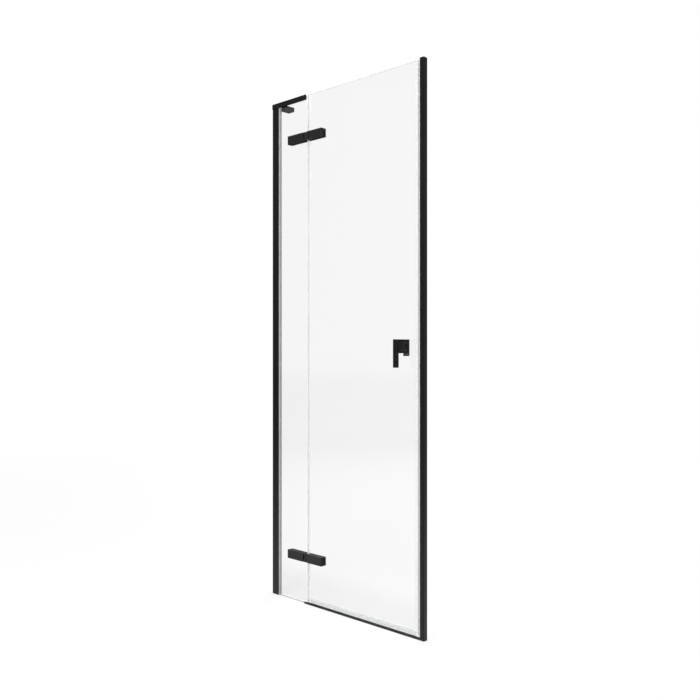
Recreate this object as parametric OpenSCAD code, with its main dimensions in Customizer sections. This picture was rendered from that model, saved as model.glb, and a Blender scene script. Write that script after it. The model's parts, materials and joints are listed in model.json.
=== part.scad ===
// Pivoting shower door in one line with a narrow fixed pane, for an opening between two walls.
// X runs from the hinge-side wall to the strike-side wall, -Y is the outside, +Z is up.
// The origin is on the hinge-side wall face, at tray level, in the middle of the glass.

/* [Opening] */
// Distance between the two wall faces
opening_w = 800; // [720:5:1000]
// Height from the tray to the top edge
screen_h = 2000; // [1850:5:2100]
// Distance from the hinge-side wall face to the pivot axis
pivot_x = 207; // [190:0.5:300]
// Gap left between each profile and its wall, for a wall that isn't plumb
wall_gap = 1; // [0.5:0.5:3]

/* [Glass] */
// Thickness of both panes
glass_t = 8; // [6:0.5:10]
// Height of the fixed pane's bottom edge above the tray
fixed_glass_z = 3; // [2:0.5:6]
// Distance from the top edge of the screen down to the top edge of both panes
glass_drop = 3; // [2:0.5:6]
// Gap between the pivot axis and the fixed pane's free edge
fixed_edge_gap = 1; // [0.5:0.5:2]
// Distance from the pivot axis to the door pane's hinge edge
door_edge_gap = 5; // [4:0.5:8]

/* [Hinge-side profile] */
// Width of the glazing profile across the wall
profile_w = 36.5; // [27:0.5:40]
// Depth of the glazing profile, centred on the glass
profile_d = 17; // [15.5:0.5:22]
// Wall thickness of both aluminium profiles
profile_t = 1.6; // [1.2:0.1:1.8]
// Depth of the pocket that takes the glass
pocket_d = 16; // [14:0.5:17]
// Wall thickness of the two wall channels
channel_t = 1.5; // [1:0.1:2]
// Clearance between a wall channel and the profile that slides over it
slide_clear = 0.1; // [0.05:0.05:0.3]
// How far the glazing gaskets reach out of the profile along the glass
gasket_lip = 8.5; // [3:0.5:12]
// Thickness of the gasket at the end of its lip
gasket_lip_t = 0.8; // [0.5:0.1:1]

/* [Wall fixings] */
// Radius of the screw holes in the wall channels
wall_hole_r = 2.5; // [2:0.25:3]
// Distance between the outer pair of wall holes
wall_hole_outer = 1800; // [1500:10:1820]
// Distance between the inner pair of wall holes
wall_hole_inner = 600; // [300:10:1200]
// Radius of the lock screws that hold each profile on its channel
lock_screw_r = 1.6; // [1.2:0.1:2]
// Distance between the outermost lock screws
lock_screw_span = 1700; // [1000:10:1780]

/* [Top rail] */
// Height of the rail
rail_h = 20; // [16:0.5:26]
// Thickness of the rail
rail_t = 5; // [4.5:0.5:8]
// How far the rail ends short of the fixed pane's free edge
rail_end_gap = 5; // [0:0.5:12]
// Thickness of the rubber pad between the rail and the fixed pane
rail_pad_t = 2; // [1:0.25:3]
// Radius of the screws that hold the rail on its wall bracket
rail_screw_r = 1.5; // [1:0.1:2]

/* [Brace bracket] */
// Distance from the wall face to the bracket's centre
brace_x = 61; // [56:0.5:75]
// Width of the bracket's block
brace_w = 34; // [24:1:34]
// Width of the neck that lies on the glass
neck_w = 18; // [14:1:22]
// Thickness of the neck
neck_t = 4; // [3:0.5:6]
// How far the block reaches behind the glass pad
brace_l = 40.5; // [24:0.5:60]
// Height of the block
brace_h = 17; // [13:0.5:20]
// Distance from the top edge of the screen down to the block's underside
brace_drop = 33.5; // [31:0.5:44]
// Core radius of the threaded socket in the block
brace_socket_r = 4; // [3:0.25:5]
// Depth of the threaded socket
brace_socket_l = 16; // [10:1:20]
// Radius of the screw that clamps the bracket to the rail
brace_screw_r = 2.5; // [2:0.25:3]

/* [Threshold] */
// Height of the threshold strip
threshold_h = 6; // [4:0.5:9]
// Depth of the threshold strip
threshold_d = 12; // [9:0.5:16]
// How far the strip reaches past the pivot axis towards the fixed pane
threshold_lap = 12.5; // [8:0.5:20]
// Thickness of its end cap
threshold_cap_t = 2; // [1:0.5:3]

/* [Strike profile] */
// Width of the strike profile across the wall
strike_w = 17; // [15:0.5:30]
// Thickness of its face, which holds the magnet strip
strike_face_t = 3.6; // [3.4:0.1:5]
// Thickness of the cap on top
strike_cap_t = 1.5; // [1:0.25:3]
// Width of the magnet strips
magnet_w = 7.8; // [5:0.2:7.8]
// Thickness of the strip in the strike profile
strike_magnet_t = 1.9; // [1:0.1:1.9]
// Thickness of the strip in the door seal
door_magnet_t = 5; // [3:0.25:5.5]

/* [Door seals] */
// Wall thickness of the clear seals where they clip on the glass
seal_t = 1; // [0.6:0.1:1]
// Height of the clips on the face of the glass
seal_leg = 10; // [7:0.5:12]
// Width of the closing seal outside the glass edge
closing_seal_w = 13; // [12:0.5:18]
// Gap between the closing seal and the strike profile
closing_gap = 1; // [0.8:0.1:2]
// How far the hinge seal's fin laps behind the fixed pane
fin_lap = 6; // [3:0.5:7.5]
// Gap between that fin and the pane
fin_gap = 0.3; // [0.3:0.1:1]
// Height of the blade under the door
blade_h = 5.8; // [3:0.2:10]
// Gap between the blade and the threshold
blade_gap = 1; // [0.5:0.1:2]
// How far the drip fin reaches to the inside
drip_reach = 6; // [3:0.5:9]

/* [Hinges] */
// Height of the hinges
hinge_h = 33.5; // [30:0.5:45]
// Distance from the tray to the lower hinge
hinge_low_z = 165.5; // [120:0.5:400]
// Distance from the top edge of the screen down to the upper hinge
hinge_top_drop = 150; // [110:1:400]
// Thickness of the front leaves
leaf_t = 15; // [14:0.5:18]
// Length of the leaf on the fixed pane
fixed_leaf_l = 92; // [70:1:95]
// Length of the leaf on the door pane
door_leaf_l = 84; // [70:1:110]
// Distance from the pivot axis to each leaf
knuckle_gap = 10; // [10:0.5:14]
// Radius of the knuckles
knuckle_r = 6.5; // [6:0.25:7]
// Height of the two outer knuckles
knuckle_h = 8.5; // [6:0.5:10]
// Half the thickness of the webs that carry the knuckles
web_half = 5; // [4:0.25:5.5]
// Radius of the pin
pin_r = 3; // [2.5:0.25:3.5]
// Radial clearance between the pin and its bushes
pin_clear = 0.05; // [0.02:0.01:0.1]
// Wall of the bushes
bush_wall = 1.15; // [0.8:0.05:1.3]
// Thickness of the bush flanges
bush_flange_t = 0.8; // [0.5:0.1:1.2]
// Axial clearance between a bush flange and the knuckle next to it
flange_clear = 0.15; // [0.05:0.05:0.3]
// Radius of the leaves' long vertical corners
leaf_round = 3; // [1:0.25:4]
// Chamfer along the leaves' top and bottom edges
leaf_chamfer = 1; // [0.5:0.25:2]
// Thickness of the back plates
plate_t = 4; // [3:0.25:5]
// How far the back plates stay back from the glass edges at the seam
plate_edge_gap = 1; // [0.5:0.5:8]
// Thickness of the rubber between metal and glass
pad_t = 1; // [0.5:0.25:1.25]
// Inset of the pads from the metal's outline
pad_inset = 0.5; // [0.25:0.25:2]

/* [Glass fixings] */
// Radius of the hinge and handle screws
screw_r = 3; // [2:0.25:3]
// Radius of their countersunk heads
screw_head_r = 5.5; // [4:0.25:6]
// Height of the countersunk heads
screw_head_h = 2.6; // [1.5:0.1:2.8]
// Depth of thread in the hinge leaves and in the handle
thread_l = 10; // [6:0.5:11]
// Distance from a leaf's ends to its screws
screw_inset = 20; // [14:0.5:24]
// Radius of the holes in the glass
glass_hole_r = 8; // [6:0.5:9]
// Clearance round the sleeves in the glass
sleeve_clear = 0.3; // [0.1:0.05:0.5]
// Clearance round the screws in what they pass through
screw_clear = 0.3; // [0.1:0.05:0.5]

/* [Handle] */
// Distance from the strike profile to the handle
handle_inset = 70; // [40:1:120]
// Width of the handle
handle_w = 15; // [13:0.5:24]
// Height of the handle's top above the tray
handle_top_z = 1033.5; // [900:0.5:1200]
// Length of the front bar
grip_l = 98.5; // [80:0.5:200]
// Thickness of the front bar
grip_t = 14; // [10:0.5:20]
// Height of the bridge between the glass and the front bar
bridge_h = 48.5; // [40:0.5:60]
// Gap for the fingers between the front bar and the pad on the glass
finger_gap = 35; // [30:0.5:50]
// Height of the inner block
inner_h = 58.5; // [42:0.5:90]
// Thickness of the inner block
inner_t = 16; // [8:0.5:20]
// Distance between the handle's two screws
handle_screw_pitch = 26; // [20:0.5:30]
// Distance from the handle's top to its upper screw
handle_screw_drop = 12; // [9:0.5:14]
// Radius of the handle's holes in the glass
handle_hole_r = 6; // [5:0.5:7]

/* [Hidden] */
$fn = 48;
cut = 1;
seat_clear = 0.05;
recess_ratio = 0.6;
tip_gap = 1;

// Planes across the glass
glass_half = glass_t / 2;
through = [-glass_half - cut, glass_half + cut];
pad_y = glass_half + pad_t;
front_y = -(glass_half + rail_pad_t + rail_t);
rail_back_y = -(glass_half + rail_pad_t);
profile_half = profile_d / 2;
pivot_y = -(pad_y + leaf_t / 2);
leaf_front_y = -(pad_y + leaf_t);
plate_back_y = pad_y + plate_t;

// Heights
glass_top_z = screen_h - glass_drop;
rail_z = screen_h - rail_h;
rail_mid_z = screen_h - rail_h / 2;
blade_z = threshold_h + blade_gap;
door_glass_z = blade_z + blade_h + seal_t;
hinge_up_z = screen_h - hinge_top_drop - hinge_h;
strike_top_z = screen_h - strike_cap_t;
magnet_inset = 10;
magnet_z0 = blade_z + magnet_inset;
magnet_z1 = glass_top_z - magnet_inset;

// Hinge side
profile_x1 = wall_gap + profile_w;
web_x1 = profile_x1 - pocket_d;
web_x0 = web_x1 - profile_t;
glass_edge_gap = 1.5;
glass_x0 = web_x1 + glass_edge_gap;
channel_end_gap = 1.4;
channel_x1 = web_x0 - channel_end_gap;
channel_half = profile_half - profile_t - slide_clear;
channel_inner = channel_half - channel_t;
lock_x = (wall_gap + channel_x1) / 2;
fixed_edge_x = pivot_x - fixed_edge_gap;
channel_drop = 2;
channel_top_z = rail_z - channel_drop;

// Strike side
strike_x0 = opening_w - wall_gap - strike_w;
strike_x1 = opening_w - wall_gap;
strike_channel_gap = 1.4;
strike_channel_x0 = strike_x0 + strike_face_t + strike_channel_gap;
strike_front_in = front_y + profile_t + slide_clear;
strike_lock_x = (strike_channel_x0 + strike_x1 - channel_t) / 2;
magnet_fit = 0.1;
cap_plug_l = 10;
cap_plug_gap = 1;
cap_plug_clear = 0.2;

// Door pane and its seals
door_x0 = pivot_x + door_edge_gap;
seal_x1 = strike_x0 - closing_gap;
door_x1 = seal_x1 - closing_seal_w;
seal_y = glass_half + seal_t;
seal_web = 1.2;
seal_nose = 0.8;
seal_cut = 1;
seal_joint = 0.3;
closing_leg = seal_leg + 1;
fin_t = 0.8;
drip_x0 = door_x0 + seal_leg + seal_joint;
drip_x1 = door_x1 - closing_leg - seal_joint;
blade_t = 1.2;

// Hinges
leaf_x0 = pivot_x - knuckle_gap - fixed_leaf_l;
leaf_x1 = pivot_x - knuckle_gap;
leaf_x2 = pivot_x + knuckle_gap;
leaf_x3 = pivot_x + knuckle_gap + door_leaf_l;
bush_r = pin_r + pin_clear + bush_wall;
bush_flange_r = knuckle_r - 0.5;
middle_z0 = knuckle_h + flange_clear + bush_flange_t;
middle_z1 = hinge_h - middle_z0;
pin_inset = 0.5;
bush_gap = 0.5;
sleeve_r = glass_hole_r - sleeve_clear;
sleeve_end = 0.2;
fixed_screw_x = [leaf_x0 + screw_inset, leaf_x1 - screw_inset];
door_screw_x = [leaf_x2 + screw_inset, leaf_x3 - screw_inset];
hinge_z = [hinge_low_z, hinge_up_z];
fixed_leaf_x = [leaf_x0, leaf_x1];
door_leaf_x = [leaf_x2, leaf_x3];
fixed_plate_x = [leaf_x0, fixed_edge_x - plate_edge_gap];
door_plate_x = [door_x0 + plate_edge_gap, leaf_x3];
screw_z = [for (z = hinge_z) z + hinge_h / 2];

// Rail and its brackets
rail_end_x = fixed_edge_x - rail_end_gap;
rail_skin = 1.2;
rail_thread_y = front_y + rail_skin;
rail_tip_y = rail_thread_y + 0.8;
rail_screw_z = [rail_mid_z - rail_h / 4, rail_mid_z + rail_h / 4];
rail_pad_z = [rail_z + 4, glass_top_z - 1];
bracket_slot = glass_half + 0.2;
bracket_fit = 0.3;
pane_seal_inset = 0.5;
brace_z = screen_h - brace_drop;
brace_back_y = pad_y + brace_l;
brace_neck_x = [brace_x - neck_w / 2, brace_x + neck_w / 2];
brace_block_x = [brace_x - brace_w / 2, brace_x + brace_w / 2];
brace_hole_r = brace_screw_r + 2;

// Threshold
threshold_x0 = pivot_x - threshold_lap;
threshold_x1 = threshold_x0 + threshold_cap_t;
threshold_back_y = front_y + threshold_d;
threshold_notch_y = -glass_half - 0.3;
threshold_round = 1.5;
threshold_notch_x1 = fixed_edge_x + 0.5;

// Handle
handle_x1 = strike_x0 - handle_inset;
handle_x0 = handle_x1 - handle_w;
handle_mid_x = (handle_x0 + handle_x1) / 2;
bridge_z = handle_top_z - bridge_h;
grip_back_y = -(pad_y + finger_gap);
grip_front_y = grip_back_y - grip_t;
handle_screw_z = [handle_top_z - handle_screw_drop, handle_top_z - handle_screw_drop - handle_screw_pitch];
handle_sleeve_r = handle_hole_r - sleeve_clear;
inner_back_y = pad_y + inner_t;

// Wall fixings
wall_hole_z = [
    for (span = [wall_hole_outer, wall_hole_inner], side = [-1, 1])
    screen_h / 2 + side * span / 2
];
lock_z = [for (side = [-1, 0, 1]) screen_h / 2 + side * lock_screw_span / 2];

// Block between two corners
module block(x, y, z) {
    translate([x[0], y[0], z[0]]) cube([x[1] - x[0], y[1] - y[0], z[1] - z[0]]);
}

// Round bar along Y
module bar_y(x, z, r, y) {
    translate([x, y[1], z]) rotate([90, 0, 0]) cylinder(r = r, h = y[1] - y[0]);
}

// Round bar along X
module bar_x(y, z, r, x) {
    translate([x[0], y, z]) rotate([0, 90, 0]) cylinder(r = r, h = x[1] - x[0]);
}

// Outline in Y and Z drawn out along X
module along_x(points, x) {
    translate([x[0], 0, 0]) rotate([90, 0, 90]) linear_extrude(height = x[1] - x[0]) polygon(points);
}

// Outline in X and Y drawn out along Z
module along_z(points, z) {
    translate([0, 0, z[0]]) linear_extrude(height = z[1] - z[0]) polygon(points);
}

// Cone of a countersunk head that is flush with the plane y and narrows towards -Y
module countersink(x, z, y, head_r, shank_r, head_h) {
    translate([x, y, z]) rotate([90, 0, 0]) cylinder(r1 = head_r, r2 = shank_r, h = head_h);
}

// Seat for a countersunk head, with a little room round it
module seat_y(x, z, y, head_r, shank_r, head_h) {
    countersink(x, z, y, head_r + seat_clear, shank_r + seat_clear, head_h + seat_clear);
}

// Countersunk screw with its head flush with y and its tip at tip_y, and the drive recess in its head
module screw_y(x, z, y, tip_y, head_r, shank_r, head_h) {
    difference() {
        union() {
            countersink(x, z, y, head_r, shank_r, head_h);
            bar_y(x, z, shank_r, [tip_y, y - head_h]);
        }
        translate([x, y + cut, z]) rotate([90, 0, 0])
            cylinder(r = shank_r * recess_ratio, h = head_h / 2 + cut, $fn = 6);
    }
}

// Sleeve round a screw inside a hole in the glass
module sleeve(x, z, outer_r, inner_r) {
    difference() {
        bar_y(x, z, outer_r, [-glass_half + sleeve_end, glass_half - sleeve_end]);
        bar_y(x, z, inner_r, through);
    }
}

// Hinge-side wall
module wall_channel() {
    color("black") difference() {
        block([0, channel_x1], [-channel_half, channel_half], [0, channel_top_z]);
        block([channel_t, channel_x1 + cut], [-channel_inner, channel_inner], [-cut, channel_top_z + cut]);
        for (z = wall_hole_z) bar_x(0, z, wall_hole_r, [-cut, channel_t + cut]);
        for (z = lock_z) bar_y(lock_x, z, lock_screw_r, [0, channel_half + cut]);
    }
}

module glazing_profile() {
    inner = profile_half - profile_t;
    color("black") difference() {
        block([wall_gap, profile_x1], [-profile_half, profile_half], [0, rail_z]);
        block([wall_gap - cut, web_x0], [-inner, inner], [-cut, rail_z + cut]);
        block([web_x1, profile_x1 + cut], [-inner, inner], [-cut, rail_z + cut]);
        for (z = lock_z) {
            bar_y(lock_x, z, lock_screw_r + screw_clear, [0, profile_half + cut]);
            seat_y(lock_x, z, profile_half, 2 * lock_screw_r, lock_screw_r, profile_t);
        }
    }
}

// Gasket between one flange and the glass; side is -1 for the front and 1 for the back
module glazing_gasket(side) {
    inner = side * (profile_half - profile_t);
    face = side * glass_half;
    lip_x = profile_x1 + gasket_lip;
    color("gray") along_z([
        [glass_x0, face], [lip_x, face], [lip_x, face + side * gasket_lip_t],
        [profile_x1, inner], [glass_x0, inner]
    ], [0, rail_z]);
}

module setting_block() {
    color("dimgray") block([glass_x0, profile_x1], [-glass_half, glass_half], [0, fixed_glass_z]);
}

module profile_lock_screws() {
    color("silver") for (z = lock_z) {
        screw_y(lock_x, z, profile_half, channel_inner, 2 * lock_screw_r, lock_screw_r, profile_t);
    }
}

// Fixed pane with its holes for the hinges and for the brace bracket
module fixed_glass() {
    color([0.85, 0.9, 0.92, 0.4]) difference() {
        block([glass_x0, fixed_edge_x], [-glass_half, glass_half], [fixed_glass_z, glass_top_z]);
        for (x = fixed_screw_x, z = screw_z) bar_y(x, z, glass_hole_r, through);
        bar_y(brace_x, rail_mid_z, brace_hole_r, through);
    }
}

module fixed_glass_seal() {
    half = glass_half - pane_seal_inset;
    color([0.8, 0.85, 0.85, 0.6]) block([profile_x1, fixed_edge_x], [-half, half], [0, fixed_glass_z]);
}

// Rail on the front of the fixed pane, threaded from behind for its screws
module top_rail() {
    thread_y = [rail_thread_y, rail_back_y + cut];
    color("black") difference() {
        block([wall_gap, rail_end_x], [front_y, rail_back_y], [rail_z, screen_h]);
        for (z = rail_screw_z) bar_y(lock_x, z, rail_screw_r, thread_y);
        bar_y(brace_x, rail_mid_z, brace_screw_r, thread_y);
    }
}

// Wall bracket behind the rail's end, which closes the glazing profile and straddles the pane
module rail_bracket() {
    tongue = channel_inner - bracket_fit;
    slot_z = [rail_z - cut, glass_top_z + bracket_fit];
    color("black") difference() {
        union() {
            block([wall_gap, profile_x1], [rail_back_y, profile_half], [rail_z, screen_h]);
            block([channel_t + bracket_fit, channel_x1], [-tongue, tongue], [rail_z - rail_h, rail_z]);
        }
        block([web_x1, profile_x1 + cut], [-bracket_slot, bracket_slot], slot_z);
        for (z = rail_screw_z) {
            bar_y(lock_x, z, rail_screw_r + screw_clear, [rail_back_y - cut, profile_half + cut]);
            seat_y(lock_x, z, profile_half, 2 * rail_screw_r, rail_screw_r, rail_screw_r);
        }
    }
}

module rail_pad() {
    color("dimgray") difference() {
        block([profile_x1 + pad_inset, rail_end_x], [rail_back_y, -glass_half], rail_pad_z);
        bar_y(brace_x, rail_mid_z, brace_screw_r + screw_clear, [rail_back_y - cut, cut - glass_half]);
    }
}

module rail_screws() {
    color("silver") for (z = rail_screw_z) {
        screw_y(lock_x, z, profile_half, rail_tip_y, 2 * rail_screw_r, rail_screw_r, rail_screw_r);
    }
}

// Bracket behind the fixed pane: a neck on the glass and a block with a threaded socket
module brace_bracket() {
    neck_y = pad_y + neck_t;
    color("black") difference() {
        union() {
            block(brace_neck_x, [pad_y, neck_y], [brace_z, screen_h]);
            block(brace_block_x, [pad_y, brace_back_y], [brace_z, brace_z + brace_h]);
        }
        bar_y(brace_x, rail_mid_z, brace_screw_r + screw_clear, [pad_y - cut, neck_y + cut]);
        seat_y(brace_x, rail_mid_z, neck_y, 2 * brace_screw_r, brace_screw_r, brace_screw_r);
        bar_y(brace_x, brace_z + brace_h / 2, brace_socket_r,
            [brace_back_y - brace_socket_l, brace_back_y + cut]);
    }
}

module brace_pad() {
    x = [brace_neck_x[0] + pad_inset, brace_neck_x[1] - pad_inset];
    color("dimgray") difference() {
        block(x, [glass_half, pad_y], [brace_z + pad_inset, glass_top_z - pad_inset]);
        bar_y(brace_x, rail_mid_z, brace_screw_r + screw_clear, [glass_half - cut, pad_y + cut]);
    }
}

module brace_screw() {
    head_r = 2 * brace_screw_r;
    color("silver")
        screw_y(brace_x, rail_mid_z, pad_y + neck_t, rail_tip_y, head_r, brace_screw_r, brace_screw_r);
}

module brace_sleeve() {
    color("white") sleeve(brace_x, rail_mid_z, brace_hole_r - sleeve_clear, brace_screw_r + screw_clear);
}

// Strip on the tray under the door, cut back where the fixed pane's corner stands
module threshold() {
    shoulder_z = threshold_h - threshold_round;
    notch_x = [threshold_x1 - cut, threshold_notch_x1];
    color("black") difference() {
        along_x([
            [front_y, 0], [threshold_back_y, 0], [threshold_back_y, shoulder_z],
            [threshold_back_y - threshold_round, threshold_h], [front_y + threshold_round, threshold_h],
            [front_y, shoulder_z]
        ], [threshold_x1, strike_x0]);
        block(notch_x, [threshold_notch_y, threshold_back_y + cut], [-cut, threshold_h + cut]);
    }
}

module threshold_cap() {
    color("black") block([threshold_x0, threshold_x1], [front_y, threshold_notch_y], [0, threshold_h]);
}

// Strike-side wall
module strike_channel() {
    outer = [strike_front_in, channel_half];
    color("black") difference() {
        block([strike_channel_x0, opening_w], outer, [0, strike_top_z - cap_plug_l]);
        block([strike_channel_x0 - cut, opening_w - channel_t], [outer[0] + channel_t, channel_inner],
            [-cut, screen_h]);
        for (z = wall_hole_z) bar_x(0, z, wall_hole_r, [opening_w - channel_t - cut, opening_w + cut]);
        for (z = lock_z) bar_y(strike_lock_x, z, lock_screw_r, [0, channel_half + cut]);
    }
}

module strike_profile() {
    groove = magnet_w / 2 + magnet_fit;
    color("black") difference() {
        block([strike_x0, strike_x1], [front_y, profile_half], [0, strike_top_z]);
        block([strike_x0 + strike_face_t, strike_x1 + cut], [front_y + profile_t, profile_half - profile_t],
            [-cut, screen_h]);
        block([strike_x0 - cut, strike_x0 + strike_magnet_t + magnet_fit], [-groove, groove],
            [magnet_z0, magnet_z1]);
        for (z = lock_z) {
            bar_y(strike_lock_x, z, lock_screw_r + screw_clear, [0, profile_half + cut]);
            seat_y(strike_lock_x, z, profile_half, 2 * lock_screw_r, lock_screw_r, profile_t);
        }
    }
}

module strike_magnet() {
    color("dimgray") block([strike_x0 + magnet_fit, strike_x0 + strike_magnet_t + magnet_fit],
        [-magnet_w / 2, magnet_w / 2], [magnet_z0, magnet_z1]);
}

// Cap on top of the strike profile, with a plug that enters the profile above the wall channel
module strike_cap() {
    plug_x = [strike_x0 + strike_face_t + cap_plug_clear, strike_x1 - cap_plug_clear];
    plug_y = [front_y + profile_t + cap_plug_clear, profile_half - profile_t - cap_plug_clear];
    color("black") {
        union() {
            block([strike_x0, strike_x1], [front_y, profile_half], [strike_top_z, screen_h]);
            block(plug_x, plug_y, [strike_top_z - cap_plug_l + cap_plug_gap, strike_top_z]);
        }
    }
}

module strike_lock_screws() {
    color("silver") for (z = lock_z) {
        screw_y(strike_lock_x, z, profile_half, channel_inner, 2 * lock_screw_r, lock_screw_r, profile_t);
    }
}

// Body of a front leaf, from x[0] to x[1], with round front corners and chamfered long edges
module leaf_body(x, z) {
    r = leaf_round;
    c = leaf_chamfer;
    front = leaf_front_y;
    back = -pad_y;
    intersection() {
        translate([0, 0, z]) linear_extrude(height = hinge_h) union() {
            translate([x[0] + r, front]) square([x[1] - x[0] - 2 * r, leaf_t]);
            translate([x[0], front + r]) square([x[1] - x[0], leaf_t - r]);
            for (corner = [x[0] + r, x[1] - r]) translate([corner, front + r]) circle(r = r);
        }
        along_x([
            [front + c, z], [back, z], [back, z + hinge_h], [front + c, z + hinge_h],
            [front, z + hinge_h - c], [front, z + c]
        ], [x[0] - cut, x[1] + cut]);
    }
}

// Knuckle on the pivot axis with the web that joins it to the leaf on one side, over the heights z
module knuckle(side, z) {
    web_x = side < 0 ? [leaf_x1 - leaf_round - cut, pivot_x] : [pivot_x, leaf_x2 + leaf_round + cut];
    translate([pivot_x, pivot_y, z[0]]) cylinder(r = knuckle_r, h = z[1] - z[0]);
    block(web_x, [pivot_y - web_half, pivot_y + web_half], z);
}

// Leaf on the fixed pane, with the lower and the upper knuckle
module hinge_leaf_fixed(z) {
    color("black") difference() {
        union() {
            leaf_body(fixed_leaf_x, z);
            knuckle(-1, [z, z + knuckle_h]);
            knuckle(-1, [z + hinge_h - knuckle_h, z + hinge_h]);
        }
        translate([pivot_x, pivot_y, z - cut]) cylinder(r = pin_r, h = hinge_h + 2 * cut);
        for (x = fixed_screw_x) bar_y(x, z + hinge_h / 2, screw_r, [-pad_y - thread_l, cut - pad_y]);
    }
}

// Leaf on the door pane, with the middle knuckle
module hinge_leaf_door(z) {
    color("black") difference() {
        union() {
            leaf_body(door_leaf_x, z);
            knuckle(1, [z + middle_z0, z + middle_z1]);
        }
        translate([pivot_x, pivot_y, z]) cylinder(r = bush_r, h = hinge_h);
        for (x = door_screw_x) bar_y(x, z + hinge_h / 2, screw_r, [-pad_y - thread_l, cut - pad_y]);
    }
}

// Plate behind the glass, with countersunk holes at the places xs
module hinge_plate(x, xs, z) {
    mid = z + hinge_h / 2;
    color("black") difference() {
        block(x, [pad_y, plate_back_y], [z, z + hinge_h]);
        for (hole = xs) {
            bar_y(hole, mid, screw_r + screw_clear, [pad_y - cut, plate_back_y + cut]);
            seat_y(hole, mid, plate_back_y, screw_head_r, screw_r, screw_head_h);
        }
    }
}

module hinge_pin(z) {
    color("silver") translate([pivot_x, pivot_y, z + pin_inset])
        cylinder(r = pin_r, h = hinge_h - 2 * pin_inset);
}

// Two flanged bushes in the middle knuckle
module hinge_bushes(z) {
    bush_l = bush_flange_t + (middle_z1 - middle_z0 - bush_gap) / 2;
    flange_z = middle_z0 - bush_flange_t;
    color("black") for (end = [0, 1]) {
        translate([pivot_x, pivot_y, z + end * hinge_h]) mirror([0, 0, end]) difference() {
            union() {
                translate([0, 0, flange_z]) cylinder(r = bush_flange_r, h = bush_flange_t);
                translate([0, 0, flange_z]) cylinder(r = bush_r, h = bush_l);
            }
            cylinder(r = pin_r + pin_clear, h = hinge_h);
        }
    }
}

// Rubber pads on both faces of the glass under the metal of both hinges
module hinge_pads(leaf_x, plate_x, xs) {
    color("dimgray") for (z = hinge_z) {
        hinge_pad(leaf_x, -pad_y, xs, z);
        hinge_pad(plate_x, glass_half, xs, z);
    }
}

// One pad under the metal that spans x, from the plane y
module hinge_pad(x, y, xs, z) {
    inner_x = [x[0] + pad_inset, x[1] - pad_inset];
    difference() {
        block(inner_x, [y, y + pad_t], [z + pad_inset, z + hinge_h - pad_inset]);
        for (hole = xs) bar_y(hole, z + hinge_h / 2, screw_r + screw_clear, [y - cut, y + pad_t + cut]);
    }
}

module hinge_sleeves(xs) {
    color("white") for (x = xs, z = screw_z) sleeve(x, z, sleeve_r, screw_r + screw_clear);
}

module hinge_screws(xs) {
    tip_y = -pad_y - thread_l + tip_gap;
    color("silver") for (x = xs, z = screw_z) {
        screw_y(x, z, plate_back_y, tip_y, screw_head_r, screw_r, screw_head_h);
    }
}

// Door pane with its holes for the hinges and the handle
module door_glass() {
    color([0.85, 0.9, 0.92, 0.4]) difference() {
        block([door_x0, door_x1], [-glass_half, glass_half], [door_glass_z, glass_top_z]);
        for (x = door_screw_x, z = screw_z) bar_y(x, z, glass_hole_r, through);
        for (z = handle_screw_z) bar_y(handle_mid_x, z, handle_hole_r, through);
    }
}

// Clear seal on the door's hinge edge, left out where the hinges stand
module hinge_seal() {
    clip_x = door_x0 - seal_web;
    leg_x = door_x0 + seal_leg;
    fin_x = fixed_edge_x - fin_lap;
    spans = [
        [blade_z, hinge_low_z - seal_cut],
        [hinge_low_z + hinge_h + seal_cut, hinge_up_z - seal_cut],
        [hinge_up_z + hinge_h + seal_cut, glass_top_z]
    ];
    color([0.8, 0.85, 0.85, 0.6]) for (z = spans) along_z([
        [clip_x, -seal_y], [leg_x, -seal_y], [leg_x, -glass_half], [door_x0, -glass_half],
        [door_x0, glass_half], [leg_x, glass_half], [leg_x, seal_y + fin_gap], [clip_x, seal_y + fin_gap],
        [fin_x, glass_half + fin_gap + fin_t], [fin_x, glass_half + fin_gap], [clip_x, glass_half + fin_gap]
    ], z);
}

// Clear seal on the door's closing edge, with a pocket for its magnet strip
module closing_seal() {
    half = magnet_w / 2 + magnet_fit;
    pocket = [seal_x1 - seal_nose - door_magnet_t - 2 * magnet_fit, seal_x1 - seal_nose];
    color([0.8, 0.85, 0.85, 0.6]) difference() {
        block([door_x1 - closing_leg, seal_x1], [-seal_y, seal_y], [blade_z, glass_top_z]);
        block([door_x1 - closing_leg - cut, door_x1], [-glass_half, glass_half], [blade_z - cut, screen_h]);
        block([door_x1 + seal_web, pocket[0] - seal_t], [-half, half], [blade_z - cut, screen_h]);
        block(pocket, [-half, half], [blade_z - cut, screen_h]);
    }
}

module door_magnet() {
    x1 = seal_x1 - seal_nose - magnet_fit;
    color("gainsboro") block([x1 - door_magnet_t, x1], [-magnet_w / 2, magnet_w / 2], [magnet_z0, magnet_z1]);
}

// Clear seal under the door: clip, blade over the threshold and drip fin to the inside
module drip_seal() {
    leg_z = door_glass_z + seal_leg;
    web_z = door_glass_z - seal_t;
    fin_y = seal_y + drip_reach;
    inner_y = seal_y - seal_t;
    color([0.8, 0.85, 0.85, 0.6]) along_x([
        [-seal_y, web_z], [-blade_t / 2, web_z], [-blade_t / 2, blade_z], [blade_t / 2, blade_z],
        [blade_t / 2, web_z], [inner_y, web_z], [fin_y, blade_z + blade_t], [fin_y, blade_z + 2 * blade_t],
        [seal_y, door_glass_z + seal_t], [seal_y, leg_z], [glass_half, leg_z], [glass_half, door_glass_z],
        [-glass_half, door_glass_z], [-glass_half, leg_z], [-seal_y, leg_z]
    ], [drip_x0, drip_x1]);
}

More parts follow.
